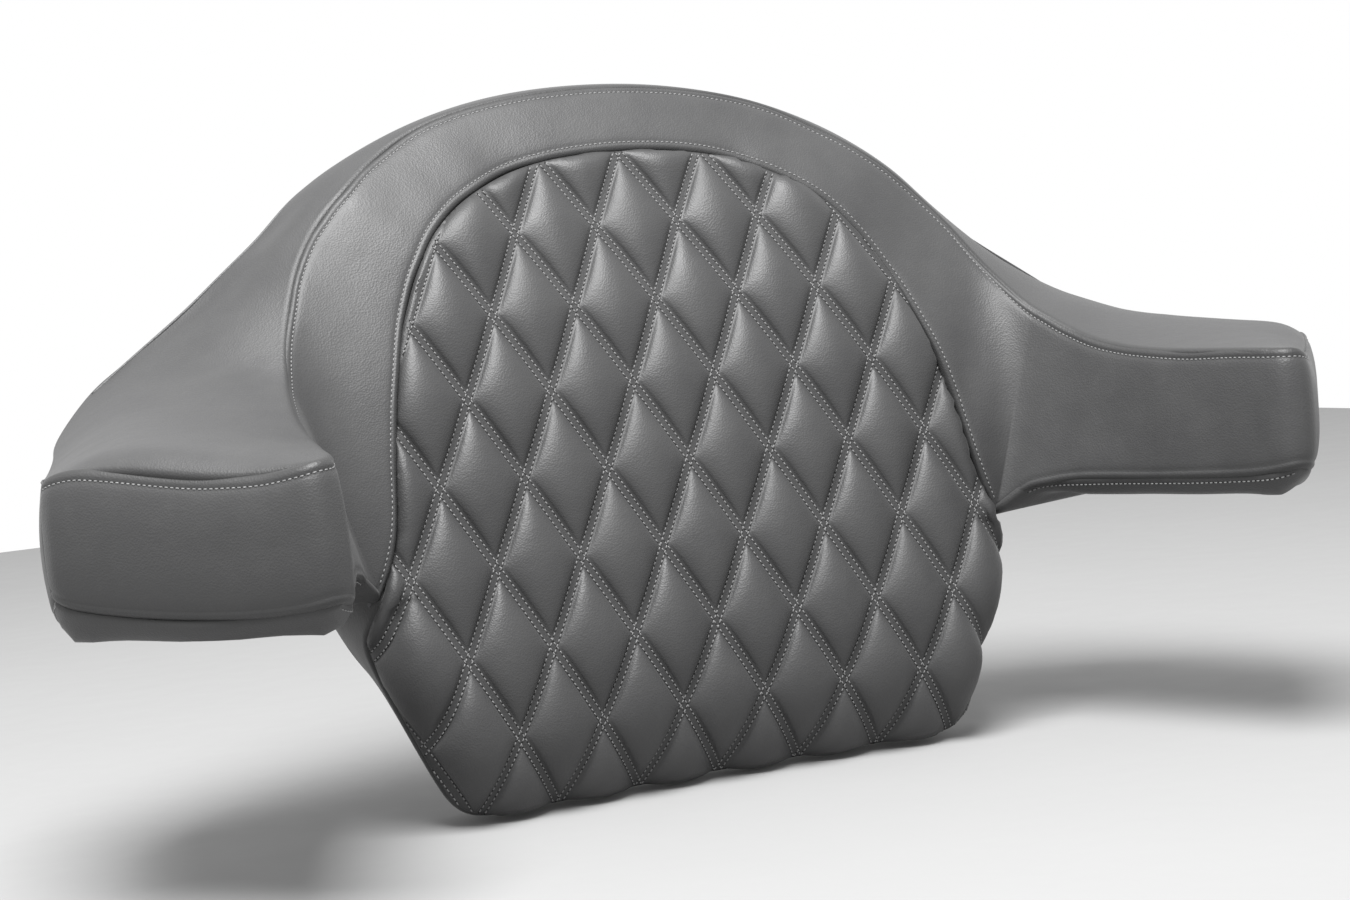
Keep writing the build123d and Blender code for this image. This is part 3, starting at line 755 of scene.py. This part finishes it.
# ------------------------------------------------------------------------ covers, sewn up
TIP_CROWN = 4.6        # swell of the arm's end face
arm_crown = [1.3] * 7 + [1.8] * 4 + [2.4] * 4 + [3.2] * 3 + [TIP_CROWN] * 9 + [3.4] * 3
band_low = insert_seam + bottom_seam[1:]
band_high = top_seam_dome + top_seam_arm[1:]
waist = len(insert_seam) - 1
band_crown = [1.4] * waist + arm_crown
front_band = sewn([band_low, band_high], (0, -1, 0), band_crown, stitched=(True, True),
                  end_seam=True, middle=16, centred=True, breaks={0: waist})
top_panel = sewn([top_panel_front, top_panel_rise, top_panel_crest, top_panel_back],
                 (0, 0, 1), [0.3] * 9 + [1.0] * 4 + [2.0] * 5, seams=(True, False),
                 end_seam=True, middle=20, centred=True)
flank = sewn([flank_top, flank_middle, flank_low], (1, 0, 0), 1.2, start_seam=True)
tip_seam = np.array(bottom_seam[bottom_seam.index(under_inner[-1]):-1])
tip_travel = along(tip_seam)


def under_board(edge, room, tip_place):
    """A rail some way in from a seam of the underside, low enough to clear the arm's board."""
    rail = []
    for here, there in zip(np.array(edge[:-1]), np.array(under_middle[:-1])):
        spot = here + (there - here) * room / np.linalg.norm(there - here)
        rail.append((spot[0], spot[1], min(spot[2], BOARD_CLEAR)))
    rail.append(read_at(tip_seam, tip_travel, tip_place))
    return rail


LEVEL_FROM = (-85, -60)    # y between which the level underside meets the lower waist
WAIST_LOW = 12             # lowest the underside may reach at the waist
near_room, far_room = EDGE_ROOMS
tip_end = tip_travel[-1]
underside = sewn([
    under_inner,
    under_board(under_inner, near_room, near_room),
    under_board(under_inner, far_room, far_room),
    under_middle,
    under_board(under_outer, far_room, tip_end - far_room),
    under_board(under_outer, near_room, tip_end - near_room),
    under_outer], (0, 0, -1), 0.3, end_seam=True)
lowest = np.interp(underside["outer"][..., 1], LEVEL_FROM, (BOARD_CLEAR - BOARD_SAG, WAIST_LOW))
for layer, lift in (("outer", 0), ("inner", SHELL / 2)):
    underside[layer][..., 2] = np.maximum(underside[layer][..., 2], lowest + lift)

gusset_front = [(x, float(pad_depth(x, z)), z) for x, z in bottom_edge[::-1]] + low_edge[::-1]
gusset_back = rear_edge(low_back[::-1])
tucked_front = gusset_front + [(168, -50, 30)]
tucked_back = gusset_back + [(180, -1, 32)]
gusset = sewn([tucked_front, tucked_back], (0, 0, -1), 0.8, seams=(True, False),
              middle=6, centred=True)

crown_hem = hem(dome_back, centred=True)
flank_hem = hem(rear_edge([REAR_TOP, REAR_SIDE, REAR_OUTER]))
under_hem = hem(rear_edge([REAR_OUTER, REAR_MIDDLE, REAR_INNER]), width=UNDER_HEM)
gusset_hem = hem(tucked_back, centred=True)

vinyl_only = [vinyl_material]
band_object = make_object("front_band_cover", [panel_shell(front_band)], vinyl_only)
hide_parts("front_band")
top_object = make_object("top_panel_cover", [panel_shell(top_panel), crown_hem],
                         vinyl_only)
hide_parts("top_panel")
gusset_object = make_object("lower_gusset_cover", [panel_shell(gusset), gusset_hem],
                            vinyl_only)
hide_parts("lower_gusset")
for side in ("left", "right"):
    other = side == "right"
    shown_flank = mirrored_panel(flank) if other else flank
    shown_under = mirrored_panel(underside) if other else underside
    side_hem = swap_side(flank_hem) if other else flank_hem
    low_hem = swap_side(under_hem) if other else under_hem
    piece = make_object(f"flank_{side}_cover", [panel_shell(shown_flank), side_hem],
                        vinyl_only)
    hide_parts(f"flank_{side}")
    piece = make_object(f"underside_{side}_cover", [panel_shell(shown_under), low_hem],
                        vinyl_only)
    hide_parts(f"underside_{side}")

# ----------------------------------------------------------------------- quilted panel
insert_curve = run_rail(along(np.array(insert_seam, float)), insert_seam,
                        fine(along(np.array(insert_seam, float)), 3), True)
half_outline = np.concatenate([
    insert_curve[:, [0, 2]],
    spline(along(np.array(low_edge)[:, [0, 2]]), np.array(low_edge)[:, [0, 2]],
           fine(along(np.array(low_edge)[:, [0, 2]]), 3))[1:],
    np.array(bottom_edge, float)])
outline = np.concatenate([half_outline, (half_outline * (-1, 1))[-2:0:-1]])


def from_outline(x, z):
    """Distance in from the panel's outline, negative outside it, and the nearest point."""
    a, b = outline, np.roll(outline, -1, axis=0)
    best = np.full(x.shape, 1e9)
    near_x, near_z = np.zeros(x.shape), np.zeros(x.shape)
    crossings = np.zeros(x.shape, int)
    for (ax, az), (bx, bz) in zip(a, b):
        dx, dz = bx - ax, bz - az
        t = np.clip(((x - ax) * dx + (z - az) * dz) / max(dx * dx + dz * dz, 1e-9), 0, 1)
        gap = (x - ax - t * dx) ** 2 + (z - az - t * dz) ** 2
        near_x = np.where(gap < best, ax + t * dx, near_x)
        near_z = np.where(gap < best, az + t * dz, near_z)
        best = np.minimum(best, gap)
        if dz != 0:
            hit = (az > z) != (bz > z)
            crossings += hit & (x < ax + (z - az) * dx / dz)
    return np.sqrt(best) * np.where(crossings % 2 == 1, 1, -1), near_x, near_z


def pad_normal(x, z):
    """Forward unit normal of the panel's seam surface."""
    slope_x = (pad_depth(x + 1, z) - pad_depth(x - 1, z)) / 2
    slope_z = (pad_depth(x, z + 1) - pad_depth(x, z - 1)) / 2
    return unit(np.stack([slope_x, -np.ones_like(x), slope_z], axis=-1))


LINE_GAP = 38.0        # between neighbouring quilting lines
first_half = np.array([0, 0.5, 0.85, 1.1, 1.4, 1.9, 2.7, 3.8, 5.2, 7.2, 9.8, 13, 16]) * (
    CHANNEL / 1.1) / LINE_GAP
first_half = first_half[first_half < 0.47]
cell_steps = np.concatenate([first_half, [0.5], 1 - first_half[:0:-1]])


def near_panel(x, z):
    """Whether places are near enough to the panel to be worth measuring."""
    return (np.abs(x) < 190) & (z > -110) & (z < 225)


def puff(place):
    """Rise across one row of diamonds, 0 on its quilting lines and 1 half-way."""
    flat = CHANNEL / LINE_GAP
    t = np.clip((place % 1 - flat) / (1 - 2 * flat), 0, 1)
    return (4 * t * (1 - t)) ** 0.52


LINES = range(-6, 10)  # quilting lines each way, past every edge of the panel
axis = np.concatenate([k + cell_steps for k in LINES])
p, q = np.meshgrid(axis, axis, indexing="ij")
x, z = lattice_place(p.ravel(), q.ravel())
usable = near_panel(x, z)
distance = np.full(x.shape, -99.0)
near_x, near_z = x.copy(), z.copy()
distance[usable], near_x[usable], near_z[usable] = from_outline(x[usable], z[usable])
kept = distance > -SNAP
faces = grid_faces(len(axis), len(axis))
faces = faces[kept[faces].all(axis=1) & (distance[faces] > 0).any(axis=1)]
used, faces = np.unique(faces, return_inverse=True)
faces = faces.reshape(-1, 4)
distance = distance[used]
x = np.where(distance < 0, near_x[used], x[used])
z = np.where(distance < 0, near_z[used], z[used])
distance = np.maximum(distance, 0)
p, q = p.ravel()[used], q.ravel()[used]
rounding = np.sqrt(1 - np.clip(1 - distance / 7.5, 0, 1) ** 2)
height = PUFF * puff(p) * puff(q) * rounding - np.clip(1.2 - distance, 0, 2) * 1.4
quilt_base = np.stack([x, pad_depth(x, z), z], axis=1)
quilt_normal = pad_normal(x, z)
# Mask for painted shade along the panel's seam and down each quilting channel.
quilt_seam_shade = np.maximum(seam_shade_mask(np.clip(distance, 0, 99)), 0.5 * np.exp(
    -np.minimum(np.abs((p + 0.5) % 1 - 0.5), np.abs((q + 0.5) % 1 - 0.5)) * LINE_GAP / 1.6))


def quilt_layer(high, low, seam, inset=-1.0):
    """A closed layer between two heights over the seam surface."""
    within = faces[(distance[faces] > inset).all(axis=1)]
    used, within = np.unique(within, return_inverse=True)
    base, normal = quilt_base[used], quilt_normal[used]
    points, polygons = closed_shell(base + normal * high[used, None],
                                    base + normal * low[used, None], within.reshape(-1, 4))
    return points, polygons, np.concatenate([seam[used], seam[used] * 0]), 0


quilted = make_object("quilted_cover", [quilt_layer(height, height - COVER, quilt_seam_shade)],
                      [quilt_material])
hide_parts("quilted_panel")
padding = make_object("quilt_wadding", [quilt_layer(
    height - COVER - 0.2, np.minimum(height, 0) - COVER - WADDING, quilt_seam_shade * 0, 4.5)],
    [wadding_material])
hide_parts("wadding")


# ------------------------------------------------------------------------- sewing, placed
QUILT_PITCH = 2.55     # stitch length on the quilting
SEAM_PITCH = 2.6       # and on the topstitching


def quilting_rows():
    """Twin rows of stitches along every quilting line."""
    rows = []
    ends = np.linspace(LINES[0], LINES[-1], 1200)
    for line in LINES:
        for direction in (0, 1):
            for shift in (-ROW_GAP, ROW_GAP):
                fixed = np.full_like(ends, line + shift / LINE_GAP)
                pair = (fixed, ends) if direction == 0 else (ends, fixed)
                px, pz = lattice_place(*pair)
                near = near_panel(px, pz)
                px, pz = px[near], pz[near]
                if len(px) < 4:
                    continue
                inside = from_outline(px, pz)[0] > 1.2
                if inside.sum() < 8:
                    continue
                px, pz = px[inside], pz[inside]
                path = np.stack([px, pad_depth(px, pz), pz], axis=1)
                rows.append(stitch_row(path, pad_normal(px, pz), QUILT_PITCH))
    return rows


STITCH_ROW = 7         # grid row that holds the topstitching
UNDER_ROW = 5          # and on the underside of the arms
waist_station = int(np.argmin(np.linalg.norm(
    front_band["outer"][:, 0] - np.array(insert_seam[-1]), axis=1)))
mirror_station = len(front_band["outer"]) - 1 - waist_station


def panel_row(panel, row, start=0, stop=None):
    """A row of a panel's grid and its normals, for sewing along."""
    return panel["outer"][start:stop, row], panel["normal"][start:stop, row]


sew("quilting", quilting_rows())
sew("insert_topstitching", [
    stitch_row(*panel_row(front_band, STITCH_ROW, mirror_station + 2, waist_station - 1),
               SEAM_PITCH)])
sew("band_topstitching", [
    stitch_row(*panel_row(front_band, -1 - STITCH_ROW, 8, -8), SEAM_PITCH)])
under_rows = [panel_row(underside, UNDER_ROW, 24, -6), panel_row(underside, -1 - UNDER_ROW, 6, -6)]
sew("underside_topstitching", [
    stitch_row(*(mirror(part) for part in row) if other else row, SEAM_PITCH)
    for other in (False, True) for row in under_rows])


# ---------------------------------------------------------------------------- foam cores
def cover_tree():
    """All covers' outer faces in one search tree, in metres."""
    points, polygons, start = [], [], 0
    for panel in (front_band, top_panel, gusset, flank, mirrored_panel(flank),
                  underside, mirrored_panel(underside)):
        n, m = panel["seam"].shape
        grid = grid_faces(n, m)
        outer = panel["outer"].reshape(-1, 3)
        normal = panel["normal"].reshape(-1, 3)
        first = outer[grid[len(grid) // 2]]
        facing = np.cross(first[1] - first[0], first[2] - first[0])
        if np.dot(facing, normal[grid[len(grid) // 2][0]]) < 0:
            grid = grid[:, ::-1]
        points.append(outer)
        polygons.append(grid + start)
        start += len(outer)
    front = quilt_base - quilt_normal * (COVER + WADDING)
    facing = np.cross(front[faces[0][1]] - front[faces[0][0]],
                      front[faces[0][2]] - front[faces[0][0]])
    polygons.append((faces if facing[1] < 0 else faces[:, ::-1]) + start)
    points.append(front)
    return BVHTree.FromPolygons((np.concatenate(points) * MM).tolist(),
                                np.concatenate(polygons).tolist())


def foam_core(node, tree):
    """A CAD foam block softened and settled a little inside the finished covers."""
    piece = frame["nodes"][node].copy()
    piece.data = piece.data.copy()
    piece.name = node + "_core"
    for key in list(piece.keys()):
        del piece[key]
    piece.parent = None
    bpy.context.scene.collection.objects.link(piece)
    remesh = piece.modifiers.new("remesh", "REMESH")
    remesh.mode = "VOXEL"
    remesh.voxel_size = FOAM_VOXEL * MM
    soften = piece.modifiers.new("soften", "SMOOTH")
    soften.iterations = 3
    graph = bpy.context.evaluated_depsgraph_get()
    settled = bpy.data.meshes.new_from_object(piece.evaluated_get(graph))
    piece.modifiers.clear()
    piece.data = settled
    for vertex in settled.vertices:
        spot, normal, _, _ = tree.find_nearest(vertex.co)
        depth = (vertex.co - spot).dot(normal)
        if depth > -FOAM_GAP * MM and (vertex.co - spot).length < FOAM_REACH * MM:
            vertex.co = spot - normal * FOAM_GAP * MM
    settled.materials.clear()
    settled.materials.append(foam_material)
    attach(piece, "root")
    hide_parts(node)


tree = cover_tree()
for node in ("foam_centre", "foam_arm_left", "foam_arm_right"):
    foam_core(node, tree)

# -------------------------------------------------------------------- carried-over parts
finishes = {
    "rear_board": plain_finish("abs_board", (0.018, 0.018, 0.019), 0, 0.55, 1400, 0.0003),
    "arm_board_left": plain_finish("abs_arm_board", (0.02, 0.02, 0.021), 0, 0.55, 1400, 0.0003),
    "rear_liner": felt("fibre_liner", (0.018, 0.018, 0.02)),
    "bracket_left": plain_finish("pressed_steel", (0.35, 0.35, 0.36), 1, 0.42, 1800, 0.0001),
    "mount_tnuts": plain_finish("zinc_plate", (0.66, 0.66, 0.62), 1, 0.3, 2400, 0.00006),
    "liner_screws": plain_finish("black_oxide", (0.03, 0.03, 0.032), 1, 0.4, 2600, 0.00005),
    "staples": plain_finish("staple_wire", (0.6, 0.6, 0.6), 1, 0.3, 3000, 0.00005),
}
same_finish = {
    "arm_board_right": "arm_board_left", "bracket_right": "bracket_left",
    "bracket_screws": "mount_tnuts", "bracket_nuts": "mount_tnuts",
    "arm_screws": "mount_tnuts", "mount_spacers": "mount_tnuts",
}
for node, material in finishes.items():
    alike = [node] + [other for other, first in same_finish.items() if first == node]
    for name in alike:
        frame["nodes"][name].data.materials.clear()
        frame["nodes"][name].data.materials.append(material)

# ---------------------------------------------------------------------------- the studio
floor_material = plain_finish("studio_floor", (0.26, 0.26, 0.26), 0, 0.9, 40, 0.00002, 0.01)
bpy.ops.mesh.primitive_plane_add(size=3.2, location=(0, 0.1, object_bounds()[0][2] - 0.002))
floor = bpy.context.object
floor.name = "studio_floor"
floor.data.materials.append(floor_material)

world = bpy.data.worlds.new("studio")
world.use_nodes = True
world.node_tree.nodes["Background"].inputs["Color"].default_value = (1, 1, 1, 1)
world.node_tree.nodes["Background"].inputs["Strength"].default_value = 1.0
bpy.context.scene.world = world


def soft_light(name, place, aim, size, power):
    """A square soft box at a place, aimed at a point, all in metres and watts."""
    light = bpy.data.lights.new(name, "AREA")
    light.size = size
    light.energy = power
    lamp = bpy.data.objects.new(name, light)
    lamp.location = place
    lamp.rotation_euler = (Vector(place) - Vector(aim)).to_track_quat("Z", "Y").to_euler()
    bpy.context.scene.collection.objects.link(lamp)


soft_light("top_box", (-0.45, -0.65, 1.8), (0, 0, 0.1), 1.1, 105)

CAMERA_PLACE = (-0.5245, -1.1339, 0.1504)
CAMERA_YAW, CAMERA_PITCH, CAMERA_ROLL = 25.46, -4.08, -4.99
FOCAL_MM = 67.14
camera = bpy.data.objects.new("camera", bpy.data.cameras.new("camera"))
camera.data.lens = FOCAL_MM
camera.data.sensor_width = 36
turn = (Matrix.Rotation(math.radians(-CAMERA_YAW), 4, "Z")
        @ Matrix.Rotation(math.radians(90 + CAMERA_PITCH), 4, "X")
        @ Matrix.Rotation(math.radians(CAMERA_ROLL), 4, "Z"))
camera.matrix_world = Matrix.Translation(CAMERA_PLACE) @ turn
bpy.context.scene.collection.objects.link(camera)
bpy.context.scene.camera = camera
bpy.context.scene.view_settings.view_transform = "Standard"
